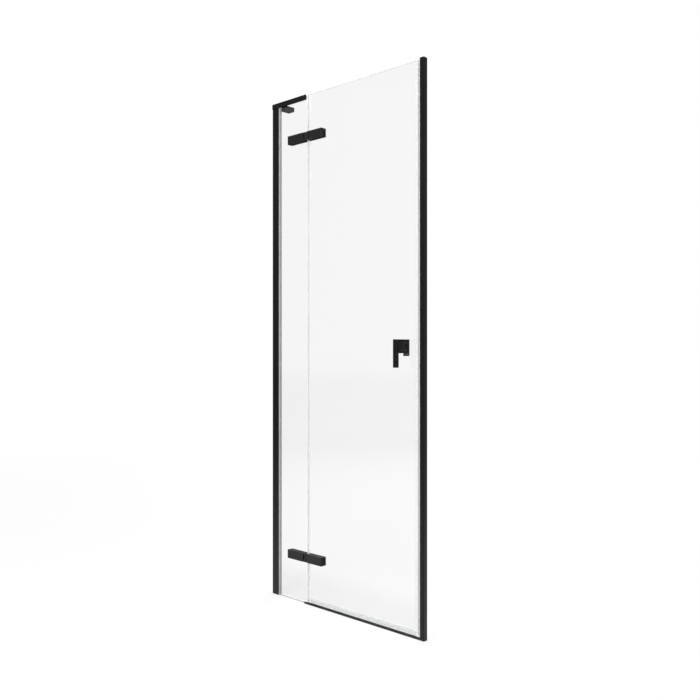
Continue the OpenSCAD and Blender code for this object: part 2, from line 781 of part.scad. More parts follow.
// Handle: front bar and bridge in one piece, threaded from behind
module handle_grip() {
    grip_z = handle_top_z - grip_l;
    color("black") difference() {
        along_x([
            [grip_front_y, grip_z], [grip_back_y, grip_z], [grip_back_y, bridge_z], [-pad_y, bridge_z],
            [-pad_y, handle_top_z], [grip_front_y, handle_top_z]
        ], [handle_x0, handle_x1]);
        for (z = handle_screw_z) bar_y(handle_mid_x, z, screw_r, [-pad_y - thread_l, cut - pad_y]);
    }
}

module handle_inner() {
    color("black") difference() {
        block([handle_x0, handle_x1], [pad_y, inner_back_y], [handle_top_z - inner_h, handle_top_z]);
        for (z = handle_screw_z) {
            bar_y(handle_mid_x, z, screw_r + screw_clear, [pad_y - cut, inner_back_y + cut]);
            seat_y(handle_mid_x, z, inner_back_y, screw_head_r, screw_r, screw_head_h);
        }
    }
}

module handle_pads() {
    low = [handle_top_z - bridge_h, handle_top_z - inner_h];
    x = [handle_x0 + pad_inset, handle_x1 - pad_inset];
    color("dimgray") for (side = [0, 1]) {
        y = side == 0 ? [-pad_y, -glass_half] : [glass_half, pad_y];
        difference() {
            block(x, y, [low[side] + pad_inset, handle_top_z - pad_inset]);
            for (z = handle_screw_z) {
                bar_y(handle_mid_x, z, screw_r + screw_clear, [y[0] - cut, y[1] + cut]);
            }
        }
    }
}

module handle_sleeves() {
    color("black") for (z = handle_screw_z) sleeve(handle_mid_x, z, handle_sleeve_r, screw_r + screw_clear);
}

module handle_screws() {
    tip_y = -pad_y - thread_l + tip_gap;
    color("silver") for (z = handle_screw_z) {
        screw_y(handle_mid_x, z, inner_back_y, tip_y, screw_head_r, screw_r, screw_head_h);
    }
}

wall_channel();
glazing_profile();
glazing_gasket(-1);  // glazing_gasket_front
glazing_gasket(1);  // glazing_gasket_back
setting_block();
profile_lock_screws();
fixed_glass();
fixed_glass_seal();
top_rail();
rail_bracket();
rail_pad();
rail_screws();
brace_bracket();
brace_pad();
brace_screw();
brace_sleeve();
threshold();
threshold_cap();
strike_channel();
strike_profile();
strike_magnet();
strike_cap();
strike_lock_screws();
hinge_leaf_fixed(hinge_low_z);  // hinge_leaf_fixed_lower
hinge_leaf_fixed(hinge_up_z);  // hinge_leaf_fixed_upper
hinge_plate(fixed_plate_x, fixed_screw_x, hinge_low_z);  // hinge_plate_fixed_lower
hinge_plate(fixed_plate_x, fixed_screw_x, hinge_up_z);  // hinge_plate_fixed_upper
hinge_pin(hinge_low_z);  // hinge_pin_lower
hinge_pin(hinge_up_z);  // hinge_pin_upper
hinge_pads(fixed_leaf_x, fixed_plate_x, fixed_screw_x);  // hinge_pads_fixed
hinge_sleeves(fixed_screw_x);  // hinge_sleeves_fixed
hinge_screws(fixed_screw_x);  // hinge_screws_fixed
door_glass();
hinge_leaf_door(hinge_low_z);  // hinge_leaf_door_lower
hinge_leaf_door(hinge_up_z);  // hinge_leaf_door_upper
hinge_plate(door_plate_x, door_screw_x, hinge_low_z);  // hinge_plate_door_lower
hinge_plate(door_plate_x, door_screw_x, hinge_up_z);  // hinge_plate_door_upper
hinge_bushes(hinge_low_z);  // hinge_bushes_lower
hinge_bushes(hinge_up_z);  // hinge_bushes_upper
hinge_pads(door_leaf_x, door_plate_x, door_screw_x);  // hinge_pads_door
hinge_sleeves(door_screw_x);  // hinge_sleeves_door
hinge_screws(door_screw_x);  // hinge_screws_door
hinge_seal();
closing_seal();
door_magnet();
drip_seal();
handle_grip();
handle_inner();
handle_pads();
handle_sleeves();
handle_screws();
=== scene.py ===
"""Looks of a pivoting shower door with a narrow fixed pane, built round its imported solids.

Metres. X runs from the hinge-side wall to the strike-side wall, -Y is the outside, Z is up.
"""

import json
import math

import bmesh
import bpy
from mathutils import Matrix, Vector
from mathutils.geometry import tessellate_polygon


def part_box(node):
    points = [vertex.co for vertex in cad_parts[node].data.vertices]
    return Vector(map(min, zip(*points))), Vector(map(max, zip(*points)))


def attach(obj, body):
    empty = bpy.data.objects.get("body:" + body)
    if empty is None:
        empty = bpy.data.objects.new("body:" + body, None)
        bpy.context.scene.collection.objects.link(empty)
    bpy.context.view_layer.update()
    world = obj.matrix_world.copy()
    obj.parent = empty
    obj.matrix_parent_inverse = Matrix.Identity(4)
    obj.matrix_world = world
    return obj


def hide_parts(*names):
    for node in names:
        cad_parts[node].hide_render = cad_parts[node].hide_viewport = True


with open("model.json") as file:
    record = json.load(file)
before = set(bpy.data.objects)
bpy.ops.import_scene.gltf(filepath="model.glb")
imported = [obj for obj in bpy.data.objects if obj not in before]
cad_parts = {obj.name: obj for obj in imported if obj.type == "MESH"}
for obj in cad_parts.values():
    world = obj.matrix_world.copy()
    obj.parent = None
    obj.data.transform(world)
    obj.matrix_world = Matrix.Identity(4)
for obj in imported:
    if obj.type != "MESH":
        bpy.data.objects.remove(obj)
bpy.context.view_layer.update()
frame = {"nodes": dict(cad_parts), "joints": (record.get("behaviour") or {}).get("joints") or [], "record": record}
for plain in list(bpy.data.materials):
    bpy.data.materials.remove(plain)
NODES = frame["nodes"]
HINGE_AXIS = Vector(frame["joints"][0]["pos_m"])

MM = 0.001
FRAME, DOOR = "frame", "door"
LEVELS = ("lower", "upper")
INWARD, UPWARD = (0, 1, 0), (0, 0, 1)

# Hinge knuckles: the height of the outer two, the place of the middle one above the hinge's bottom,
# the gap between the axis and each leaf, and the webs that carry them
OUTER_KNUCKLE_H = 8.5 * MM
MIDDLE_KNUCKLE_Z = 9.45 * MM
KNUCKLE_GAP = 10.0 * MM
WEB_HALF = 5.0 * MM
WEB_REACH = 4.0 * MM
WEB_INSET = 0.02 * MM
PIN_R = 3.0 * MM
BUSH_R = 4.2 * MM
THREAD_DEPTH = 10.0 * MM

# Threaded socket of the brace bracket; each groove is deepest and ends at these shares of the pitch
SOCKET_R = 4.0 * MM
SOCKET_DEPTH = 15.0 * MM
SOCKET_CHAMFER = 0.5 * MM
SOCKET_PITCH = 1.25 * MM
SOCKET_GROOVE = 0.6 * MM
SOCKET_SIDES = 48
GROOVE_DEEPEST, GROOVE_END = 0.45, 0.9

# How far a cutting tool reaches past the piece, and past a face that it only opens
CUT = 1.0 * MM
NICK = 0.01 * MM

# Sections of the seals
SEAL_WALL = 1.0 * MM
SEAL_WEB = 1.2 * MM
SEAL_FIN = 0.8 * MM
SEAL_TIP = 0.35 * MM
SEAL_BEND = 0.8 * MM
SEAL_CORNER = 1.2 * MM
MAGNET_FIT = 0.1 * MM
FIN_GAP = 0.3 * MM
BLADE = 1.2 * MM
BEAD_WAIST = 0.5 * MM
GASKET_LIP = 0.8 * MM
GASKET_ROOT = 0.5
GASKET_STEPS = 8
THRESHOLD_ROUND = 0.8 * MM
NOTCH_CLEAR = 0.5 * MM

# Screws: the rim of the head, the tip and the hexagon socket as shares of the shank's radius, and
# the height of the hexagon that cuts the socket, half of it above the head, as a share of the head
SCREW_SIDES = 64
SCREW_RIM = 0.15 * MM
TIP_RISE, TIP_R = 0.35, 0.65
HEXAGON_R, HEXAGON_H = 0.6, 1.4

# Shank radius and head height of each kind of screw
SCREW_SIZES = {
    "profile_lock_screws": (1.6 * MM, 1.6 * MM),
    "strike_lock_screws": (1.6 * MM, 1.6 * MM),
    "rail_screws": (1.5 * MM, 1.5 * MM),
    "brace_screw": (2.5 * MM, 2.5 * MM),
    "hinge_screws_fixed": (3.0 * MM, 2.6 * MM),
    "hinge_screws_door": (3.0 * MM, 2.6 * MM),
    "handle_screws": (3.0 * MM, 2.6 * MM),
}

# Edge radii
EXTRUSION_EDGE = 0.4 * MM
RAIL_EDGE = 0.2 * MM
PLATE_EDGE = 0.5 * MM
CAP_EDGE = 0.2 * MM
HANDLE_EDGE = 0.5 * MM
LEAF_CORNER = 3.0 * MM
LEAF_EDGE = 0.7 * MM
KNUCKLE_EDGE = 0.6 * MM
GLASS_ARRIS = 0.7 * MM

# Angles of a sharp edge, a smooth one and a flat one; points and faces that count as one
SHARP = math.radians(50)
SMOOTH = math.radians(38)
FLAT = 0.003
JOIN = 1e-6
TOUCH = 10 * JOIN

# Cosines of an edge that counts as parallel to an axis and of a face that counts as a pane's own,
# the angle in an outline that counts as straight, and the most of an edge that a fillet may use
PARALLEL = 0.999
PANE_FACE = 0.98
STRAIGHT = 3.1
FILLET_SHARE = 0.49


# Materials

def new_material(name, color, roughness, metallic=0.0, **sockets):
    """Node material with a principled shader; sockets are given by name with _ for a space."""
    made = bpy.data.materials.new(name)
    made.use_nodes = True
    shader = made.node_tree.nodes["Principled BSDF"]
    shader.inputs["Base Color"].default_value = (*color, 1.0)
    shader.inputs["Roughness"].default_value = roughness
    shader.inputs["Metallic"].default_value = metallic
    for socket, value in sockets.items():
        shader.inputs[socket.replace("_", " ")].default_value = value
    return made


def put(tree, socket, value):
    """Gives a socket a number, or joins a node value to it."""
    if isinstance(value, (int, float)):
        socket.default_value = value
    else:
        tree.links.new(value, socket)


def reckon(tree, operation, *values):
    """Result of a math node on numbers or node values."""
    made = tree.nodes.new("ShaderNodeMath")
    made.operation = operation
    for socket, value in zip(made.inputs, values):
        put(tree, socket, value)
    return made.outputs[0]


def coordinate(tree, vector, axis):
    """One coordinate of a vector, given by its letter."""
    made = tree.nodes.new("ShaderNodeSeparateXYZ")
    tree.links.new(vector, made.inputs[0])
    return made.outputs[axis]


def mix_at_output(tree, factor, first, second, output="Material Output"):
    """Ends a tree with the first shader where factor is 0 and the second where it is 1."""
    made = tree.nodes.new("ShaderNodeMixShader")
    for socket, value in zip(made.inputs, (factor, first, second)):
        tree.links.new(value, socket)
    tree.links.new(made.outputs[0], tree.nodes[output].inputs["Surface"])


def in_object(tree, stretch=(1, 1, 1)):
    """Object coordinates, stretched along the grain."""
    place = tree.nodes.new("ShaderNodeTexCoord")
    mapping = tree.nodes.new("ShaderNodeMapping")
    mapping.inputs["Scale"].default_value = stretch
    tree.links.new(place.outputs["Object"], mapping.inputs["Vector"])
    return mapping.outputs["Vector"]


def noise(tree, vector, scale, detail=2.0, rough=0.5):
    """Noise from 0 to 1, with about scale lumps to a metre."""
    made = tree.nodes.new("ShaderNodeTexNoise")
    made.inputs["Scale"].default_value = scale
    made.inputs["Detail"].default_value = detail
    made.inputs["Roughness"].default_value = rough
    tree.links.new(vector, made.inputs["Vector"])
    return made.outputs["Fac"]


def spread(tree, value, low, high, start=0.3, end=0.7):
    """A node value, from start to end, spread over the range from low to high."""
    made = tree.nodes.new("ShaderNodeMapRange")
    made.inputs["From Min"].default_value = start
    made.inputs["From Max"].default_value = end
    made.inputs["To Min"].default_value = low
    made.inputs["To Max"].default_value = high
    tree.links.new(value, made.inputs["Value"])
    return made.outputs["Result"]


def tint(tree, value, dark, pale):
    """Colour between dark and pale where value goes from 0 to 1."""
    made = tree.nodes.new("ShaderNodeMix")
    made.data_type = "RGBA"
    for socket in made.inputs:
        if socket.name in "AB" and socket.type == "RGBA":
            socket.default_value = (*(dark if socket.name == "A" else pale), 1.0)
    tree.links.new(value, made.inputs["Factor"])
    return next(s for s in made.outputs if s.type == "RGBA")


def bump(tree, height, distance, strength, under=None):
    """Normal of a surface raised by height; under is the normal of a coarser bump below it."""
    made = tree.nodes.new("ShaderNodeBump")
    made.inputs["Distance"].default_value = distance
    made.inputs["Strength"].default_value = strength
    tree.links.new(height, made.inputs["Height"])
    if under is not None:
        tree.links.new(under, made.inputs["Normal"])
    return made.outputs["Normal"]


def plug(made, socket, value):
    """Joins a node value to a socket of the material's principled shader."""
    tree = made.node_tree
    tree.links.new(value, tree.nodes["Principled BSDF"].inputs[socket])


def satin_black(name, dark, pale, shine=0.3):
    """Satin powder coat: soft orange peel, fine grain and a faint cloudiness."""
    made = new_material(name, pale, 0.42, Specular_IOR_Level=shine)
    tree = made.node_tree
    place = in_object(tree)
    cloud = spread(tree, noise(tree, place, 9.0, 3.0), 0.0, 1.0)
    grain = noise(tree, place, 2600.0, 2.0)
    plug(made, "Base Color", tint(tree, cloud, dark, pale))
    plug(made, "Roughness", spread(tree, noise(tree, place, 320.0, 3.0), 0.38, 0.47))
    peel = bump(tree, noise(tree, place, 620.0, 1.0), 0.03 * MM, 0.7)
    plug(made, "Normal", bump(tree, grain, 0.006 * MM, 0.6, peel))
    return made


def let_light_through(made, color):
    """Shadow rays pass a clear material, so that it throws only a faint shadow."""
    tree = made.node_tree
    through = tree.nodes.new("ShaderNodeBsdfTransparent")
    through.inputs["Color"].default_value = (*color, 1.0)
    shadow = tree.nodes.new("ShaderNodeLightPath").outputs["Is Shadow Ray"]
    mix_at_output(tree, shadow, tree.nodes["Principled BSDF"].outputs[0], through.outputs[0])


def clear_glass():
    """Clear toughened float glass with the slight roller wave of toughening."""
    made = new_material("clear_glass", (0.966, 0.967, 0.968), 0.0, IOR=1.5, Transmission_Weight=1.0)
    tree = made.node_tree
    wave = noise(tree, in_object(tree, (1, 1, 3)), 1.6, 1.0)
    plug(made, "Normal", bump(tree, wave, 0.4 * MM, 0.25))
    let_light_through(made, (0.95, 0.96, 0.96))
    return made


def glass_edge():
    """Seamed edge of the panes: finely ground, so that it looks pale and frosted."""
    made = new_material("glass_edge", (0.88, 0.89, 0.89), 0.5, IOR=1.5)
    tree = made.node_tree
    ground = noise(tree, in_object(tree), 2400.0, 2.0)
    plug(made, "Roughness", spread(tree, ground, 0.45, 0.58))
    plug(made, "Normal", bump(tree, ground, 0.006 * MM, 0.4))
    let_light_through(made, (0.92, 0.94, 0.935))
    return made


def clear_seal(name, dark, pale, cover, shade=0.3):
    """Clear soft PVC, a little milky; cover is how much each skin hides, shade its share in shadows."""
    made = new_material(name, pale, 0.35, IOR=1.45, Alpha=cover, Specular_IOR_Level=0.3)
    tree = made.node_tree
    place = in_object(tree)
    haze = noise(tree, place, 40.0, 3.0)
    plug(made, "Base Color", tint(tree, spread(tree, haze, 0, 1), dark, pale))
    plug(made, "Roughness", spread(tree, haze, 0.32, 0.38))
    plug(made, "Normal", bump(tree, noise(tree, place, 3000.0, 2.0), 0.004 * MM, 0.3))
    let_light_through(made, (1.0 - cover * shade,) * 3)
    return made


def soft_strip(name, dark, pale, roughness):
    """Soft extruded strip: matt, with fine lines along its run and a little bloom."""
    made = new_material(name, pale, roughness)
    tree = made.node_tree
    lines = noise(tree, in_object(tree, (1, 1, 0.01)), 1800.0, 2.0)
    bloom = noise(tree, in_object(tree), 45.0, 4.0)
    plug(made, "Base Color", tint(tree, spread(tree, bloom, 0, 1), dark, pale))
    plug(made, "Roughness", spread(tree, bloom, roughness - 0.08, roughness + 0.08))
    plug(made, "Normal", bump(tree, lines, 0.02 * MM, 0.6))
    return made


def moulded(name, dark, pale, roughness, grain):
    """Moulded plastic with the fine spark grain of its tool."""
    made = new_material(name, pale, roughness)
    tree = made.node_tree
    place = in_object(tree)
    texture = noise(tree, place, grain, 3.0, 0.6)
    plug(made, "Base Color", tint(tree, spread(tree, noise(tree, place, 70.0), 0, 1), dark, pale))
    plug(made, "Roughness", spread(tree, texture, roughness - 0.07, roughness + 0.07))
    plug(made, "Normal", bump(tree, texture, 0.02 * MM, 0.7))
    return made


def screw_steel():
    """Blackened steel: dark oxide with a thin sheen and small bright rubs."""
    made = new_material("black_screw_steel", (0.03, 0.03, 0.032), 0.34, metallic=0.55)
    tree = made.node_tree
    place = in_object(tree)
    rub = spread(tree, noise(tree, place, 700.0, 4.0, 0.65), 0.0, 1.0, 0.58, 0.8)
    plug(made, "Base Color", tint(tree, rub, (0.024, 0.024, 0.026), (0.09, 0.09, 0.092)))
    plug(made, "Roughness", spread(tree, noise(tree, place, 1800.0), 0.28, 0.44))
    plug(made, "Normal", bump(tree, noise(tree, place, 3000.0), 0.008 * MM, 0.6))
    return made


def ground_pin():
    """Ground stainless steel with rings round the pin."""
    made = new_material("pin_steel", (0.58, 0.58, 0.59), 0.26, metallic=1.0)
    tree = made.node_tree
    rings = noise(tree, in_object(tree, (0.05, 0.05, 1)), 4000.0, 2.0)
    plug(made, "Base Color", tint(tree, spread(tree, rings, 0, 1), (0.5, 0.5, 0.51), (0.64, 0.64, 0.65)))
    plug(made, "Roughness", spread(tree, rings, 0.2, 0.34))
    plug(made, "Normal", bump(tree, rings, 0.004 * MM, 0.6))
    return made


LOOKS = {
    "satin_black": satin_black("satin_black", (0.0038, 0.0038, 0.0041), (0.0048, 0.0048, 0.0051)),
    "hinge_black": satin_black("hinge_black", (0.0105, 0.0105, 0.011), (0.012, 0.012, 0.0125)),
    # Painted shade: the brace's copy of satin black, without sheen and with a tone set for the light that falls on
    # it
    "brace_black": satin_black("brace_black", (0.007, 0.007, 0.0075), (0.009, 0.009, 0.0095), 0.0),
    "clear_glass": clear_glass(),
    "glass_edge": glass_edge(),
    "clear_seal": clear_seal("clear_seal", (0.66, 0.67, 0.675), (0.68, 0.69, 0.695), 0.13),
    "clear_sweep": clear_seal("clear_sweep", (0.7, 0.71, 0.715), (0.72, 0.73, 0.735), 0.34, 0.9),
    # Painted shade: the bead under the fixed pane is clear, and its dark grey stands for the shadow along the
    # pane's foot
    "clear_bead": clear_seal("clear_bead", (0.24, 0.24, 0.245), (0.28, 0.28, 0.285), 0.7),
    "grey_gasket": soft_strip("grey_gasket", (0.34, 0.34, 0.345), (0.42, 0.42, 0.425), 0.55),
    "black_rubber": soft_strip("black_rubber", (0.014, 0.014, 0.014), (0.024, 0.024, 0.024), 0.75),
    "black_plastic": moulded("black_plastic", (0.016, 0.016, 0.017), (0.022, 0.022, 0.023), 0.5, 2400.0),
    "black_screw_steel": screw_steel(),
    "pin_steel": ground_pin(),
    "nylon": moulded("nylon", (0.72, 0.71, 0.68), (0.8, 0.79, 0.76), 0.5, 1200.0),
    "magnet_strip": soft_strip("magnet_strip", (0.026, 0.024, 0.022), (0.036, 0.033, 0.031), 0.6),
    "white_magnet_strip": soft_strip("white_magnet_strip", (0.7, 0.7, 0.69), (0.74, 0.74, 0.73), 0.55),
}


# Mesh tools

def merged(node):
    """The node's mesh with its loose triangles joined."""
    bm = bmesh.new()
    bm.from_mesh(NODES[node].data)
    bmesh.ops.remove_doubles(bm, verts=bm.verts[:], dist=JOIN)
    return bm


def flatten(bm):
    """Makes one face of each flat stretch."""
    bmesh.ops.dissolve_limit(bm, angle_limit=FLAT, verts=bm.verts[:], edges=bm.edges[:])


def copy_of(node):
    """The node's solid as one clean skin of flat faces."""
    bm = merged(node)
    flatten(bm)
    return bm


def solids_of(node):
    """Lowest and highest corner of each separate solid in a node."""
    bm = merged(node)
    boxes, seen = [], set()
    for first in bm.verts:
        if first in seen:
            continue
        island, todo = [], [first]
        seen.add(first)
        while todo:
            vert = todo.pop()
            island.append(vert.co.copy())
            for edge in vert.link_edges:
                other = edge.other_vert(vert)
                if other not in seen:
                    seen.add(other)
                    todo.append(other)
        boxes.append(tuple(Vector(f(p[i] for p in island) for i in range(3)) for f in (min, max)))
    bm.free()
    return boxes


def add_block(bm, low, high):
    """Adds a block between two corners."""
    low, high = Vector(low), Vector(high)
    size = Matrix.Diagonal((*(high - low), 1.0))
    bmesh.ops.create_cube(bm, size=1.0, matrix=Matrix.Translation((low + high) / 2) @ size)


def turned(bm, centre, axis, profile, sides=64):
    """Turned solid: profile is a list of (radius, place along the axis), from one end to the other."""
    along = Vector(axis)
    across = along.orthogonal().normalized()
    third = along.cross(across)
    rings = []
    for radius, place in profile:
        ring = []
        for i in range(sides):
            a = 2 * math.pi * i / sides
            ring.append(bm.verts.new(
                Vector(centre) + along * place + (across * math.cos(a) + third * math.sin(a)) * radius
            ))
        rings.append(ring)
    made = [bm.faces.new(rings[0]), bm.faces.new(rings[-1])]
    for below, above in zip(rings, rings[1:]):
        for i in range(sides):
            j = (i + 1) % sides
            made.append(bm.faces.new((below[i], below[j], above[j], above[i])))
    bmesh.ops.recalc_face_normals(bm, faces=made)


def soften(bm, radius, pick, segments=3):
    """Rounds the sharp edges that pick accepts."""
    edges = [e for e in bm.edges if e.is_manifold and e.calc_face_angle(0) > SHARP and pick(e)]
    bmesh.ops.bevel(
        bm, geom=edges, offset=radius, offset_type="OFFSET", segments=segments, profile=0.5,
        affect="EDGES", clamp_overlap=False, miter_outer="SHARP",
    )


def middle(edge):
    """Middle of an edge."""
    return (edge.verts[0].co + edge.verts[1].co) / 2


def runs_along(edge, axis):
    """True if the edge is parallel to axis 0, 1 or 2."""
    way = edge.verts[1].co - edge.verts[0].co
    return abs(way[axis]) > PARALLEL * way.length


def on_outline(edge, low, high):
    """True if the edge lies on at least two sides of the box, as an outer edge of a block does."""
    spot = middle(edge)
    return sum(min(abs(spot[i] - low[i]), abs(spot[i] - high[i])) < TOUCH for i in range(3)) >= 2


def to_object(name, bm, looks):
    """A mesh object with the given finishes; where there is only one, every face has it."""
    if len(looks) == 1:
        for face in bm.faces:
            face.material_index = 0
    mesh = bpy.data.meshes.new(name)
    bm.to_mesh(mesh)
    bm.free()
    made = bpy.data.objects.new(name, mesh)
    bpy.context.scene.collection.objects.link(made)
    for look in looks:
        mesh.materials.append(LOOKS[look])
    return made


def baked(made):
    """Puts the result of an object's modifiers in its mesh."""
    bpy.context.view_layer.update()
    graph = bpy.context.evaluated_depsgraph_get()
    mesh = bpy.data.meshes.new_from_object(made.evaluated_get(graph), depsgraph=graph)
    made.modifiers.clear()
    made.data = mesh
    return made


def joined(made, tool_bm, operation="DIFFERENCE"):
    """Cuts a tool out of an object, or melts the two together."""
    tool = to_object("tool", tool_bm, [])
    modifier = made.modifiers.new("cut", "BOOLEAN")
    modifier.operation = operation
    modifier.solver = "EXACT"
    modifier.object = tool
    baked(made)
    bpy.data.objects.remove(tool)
    return made


def shaded(made):
    """Smooth shading between sharp edges, with the large faces kept flat."""
    made.data.polygons.foreach_set("use_smooth", [True] * len(made.data.polygons))
    made.data.set_sharp_from_angle(angle=SMOOTH)
    weigh = made.modifiers.new("weigh", "WEIGHTED_NORMAL")
    weigh.keep_sharp = True
    return baked(made)


def piece(made, name, body, slot, *nodes):
    """A finished piece: it rides on its body and stands for its nodes."""
    made.name = made.data.name = name
    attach(made, body)
    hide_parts(*nodes)
    return made


# Node trees

def start_tree(name, kind, *sizes):
    """A geometry tree that is given a mesh, some values of one kind and a finish."""
    tree = bpy.data.node_groups.new(name, "GeometryNodeTree")
    face = tree.interface
    face.new_socket("Geometry", in_out="INPUT", socket_type="NodeSocketGeometry")
    for size in sizes:
        face.new_socket(size, in_out="INPUT", socket_type=kind)
    face.new_socket("Finish", in_out="INPUT", socket_type="NodeSocketMaterial")
    face.new_socket("Geometry", in_out="OUTPUT", socket_type="NodeSocketGeometry")
    return tree, tree.nodes.new("NodeGroupInput")


def end_tree(tree, given, shape):
    """Ends a tree with the shape as a real mesh in the given finish."""
    real = tree.nodes.new("GeometryNodeRealizeInstances")
    paint = tree.nodes.new("GeometryNodeSetMaterial")
    out = tree.nodes.new("NodeGroupOutput")
    tree.links.new(shape, real.inputs["Geometry"])
    tree.links.new(real.outputs["Geometry"], paint.inputs["Geometry"])
    tree.links.new(given.outputs["Finish"], paint.inputs["Material"])
    tree.links.new(paint.outputs["Geometry"], out.inputs["Geometry"])
    return tree


def strip_tree():
    """Geometry nodes: sections drawn out along a direction by the length each one carries."""
    tree, given = start_tree("strip", "NodeSocketVector", "Direction")
    length = tree.nodes.new("GeometryNodeInputNamedAttribute")
    length.data_type = "FLOAT"
    length.inputs["Name"].default_value = "run"
    draw = tree.nodes.new("GeometryNodeExtrudeMesh")
    draw.mode = "FACES"
    draw.inputs["Individual"].default_value = False
    flip = tree.nodes.new("GeometryNodeFlipFaces")
    join = tree.nodes.new("GeometryNodeJoinGeometry")
    merge = tree.nodes.new("GeometryNodeMergeByDistance")
    merge.inputs["Distance"].default_value = JOIN
    link = tree.links.new
    link(given.outputs["Geometry"], draw.inputs["Mesh"])
    link(given.outputs["Direction"], draw.inputs["Offset"])
    link(length.outputs["Attribute"], draw.inputs["Offset Scale"])
    link(given.outputs["Geometry"], flip.inputs["Mesh"])
    link(draw.outputs["Mesh"], join.inputs["Geometry"])
    link(flip.outputs["Mesh"], join.inputs["Geometry"])
    link(join.outputs["Geometry"], merge.inputs["Geometry"])
    return end_tree(tree, given, merge.outputs["Geometry"])


def by_index(tree, values):
    """The value for each point of a line, in order."""
    node = tree.nodes.new("GeometryNodeIndexSwitch")
    node.data_type = "FLOAT"
    while len(node.index_switch_items) < len(values):
        node.index_switch_items.new()
    tree.links.new(tree.nodes.new("GeometryNodeInputIndex").outputs[0], node.inputs[0])
    for socket, value in zip(list(node.inputs)[1:], values):
        put(tree, socket, value)
    return node.outputs[0]


def screw_outline(tree, given):
    """Heights and radii of a screw's outline, from its tip to the top of its head."""
    head, shank, rim = (given.outputs[name] for name in ("Head radius", "Shank radius", "Rim"))
    end = reckon(tree, "MULTIPLY", given.outputs["Length"], -1.0)
    heights = [
        end,
        reckon(tree, "MULTIPLY_ADD", shank, TIP_RISE, end),
        reckon(tree, "MULTIPLY", given.outputs["Head height"], -1.0),
        reckon(tree, "MULTIPLY", rim, -1.0),
        0.0,
    ]
    radii = [
        reckon(tree, "MULTIPLY", shank, TIP_R),
        shank,
        shank,
        reckon(tree, "SUBTRACT", head, rim),
        reckon(tree, "MULTIPLY_ADD", rim, -2.0, head),
    ]
    return heights, radii


def screw_body(tree, given):
    """A screw without its socket: a ring drawn along its outline and closed at both ends."""
    heights, radii = screw_outline(tree, given)
    line = tree.nodes.new("GeometryNodeMeshLine")
    line.inputs["Count"].default_value = len(heights)
    spot = tree.nodes.new("ShaderNodeCombineXYZ")
    place = tree.nodes.new("GeometryNodeSetPosition")
    curve = tree.nodes.new("GeometryNodeMeshToCurve")
    ring = tree.nodes.new("GeometryNodeCurvePrimitiveCircle")
    ring.inputs["Resolution"].default_value = SCREW_SIDES
    ring.inputs["Radius"].default_value = 1.0
    body = tree.nodes.new("GeometryNodeCurveToMesh")
    body.inputs["Fill Caps"].default_value = True
    link = tree.links.new
    link(by_index(tree, heights), spot.inputs["Z"])
    link(line.outputs["Mesh"], place.inputs["Geometry"])
    link(spot.outputs[0], place.inputs["Position"])
    link(place.outputs["Geometry"], curve.inputs["Mesh"])
    link(curve.outputs["Curve"], body.inputs["Curve"])
    link(ring.outputs["Curve"], body.inputs["Profile Curve"])
    link(by_index(tree, radii), body.inputs["Scale"])
    return body.outputs["Mesh"]


def screw_tree():
    """Geometry nodes: a countersunk screw with a hexagon socket at every point, its head towards +Y."""
    tree, given = start_tree(
        "screws", "NodeSocketFloat", "Head radius", "Shank radius", "Head height", "Length", "Rim",
        "Socket radius",
    )
    hexagon = tree.nodes.new("GeometryNodeMeshCylinder")
    hexagon.inputs["Vertices"].default_value = 6
    drive = tree.nodes.new("GeometryNodeMeshBoolean")
    drive.operation = "DIFFERENCE"
    copies = tree.nodes.new("GeometryNodeInstanceOnPoints")
    copies.inputs["Rotation"].default_value = (-math.pi / 2, 0, 0)
    link = tree.links.new
    link(given.outputs["Socket radius"], hexagon.inputs["Radius"])
    link(reckon(tree, "MULTIPLY", given.outputs["Head height"], HEXAGON_H), hexagon.inputs["Depth"])
    link(screw_body(tree, given), drive.inputs["Mesh 1"])
    link(hexagon.outputs["Mesh"], drive.inputs["Mesh 2"])
    link(given.outputs["Geometry"], copies.inputs["Points"])
    link(drive.outputs["Mesh"], copies.inputs["Instance"])
    return end_tree(tree, given, copies.outputs["Instances"])


STRIP_TREE = strip_tree()
SCREW_TREE = screw_tree()


def grown(made, tree, **values):
    """Runs a node tree on an object, with its named inputs given, and keeps the result."""
    modifier = made.modifiers.new("grow", "NODES")
    modifier.node_group = tree
    for item in tree.interface.items_tree:
        key = item.name.replace(" ", "_")
        if item.in_out == "INPUT" and key in values:
            modifier[item.identifier] = values[key]
    return baked(made)


def strip(name, axis, sections, look):
    """Seal or gasket: each section is (outlines, start, end), drawn along axis 0 or 2."""
    bm = bmesh.new()
    run = bm.faces.layers.float.new("run")
    for outlines, start, end in sections:
        loops = [[Vector((*p, 0.0)) for p in loop] for loop in outlines]
        flat = [p for loop in loops for p in loop]
        if axis == 0:
            spots = [Vector((start, p.x, p.y)) for p in flat]
        else:
            spots = [Vector((p.x, p.y, start)) for p in flat]
        verts = [bm.verts.new(p) for p in spots]
        for corners in tessellate_polygon(loops):
            face = bm.faces.new([verts[i] for i in corners])
            face.normal_update()
            if face.normal[axis] < 0:
                face.normal_flip()
            face[run] = end - start
    made = to_object(name, bm, [])
    direction = (1.0, 0.0, 0.0) if axis == 0 else (0.0, 0.0, 1.0)
    grown(made, STRIP_TREE, Direction=direction, Finish=LOOKS[look])
    bm = bmesh.new()
    bm.from_mesh(made.data)
    flatten(bm)
    bmesh.ops.recalc_face_normals(bm, faces=bm.faces[:])
    bpy.data.objects.remove(made)
    return shaded(to_object(name, bm, [look]))


# Outlines

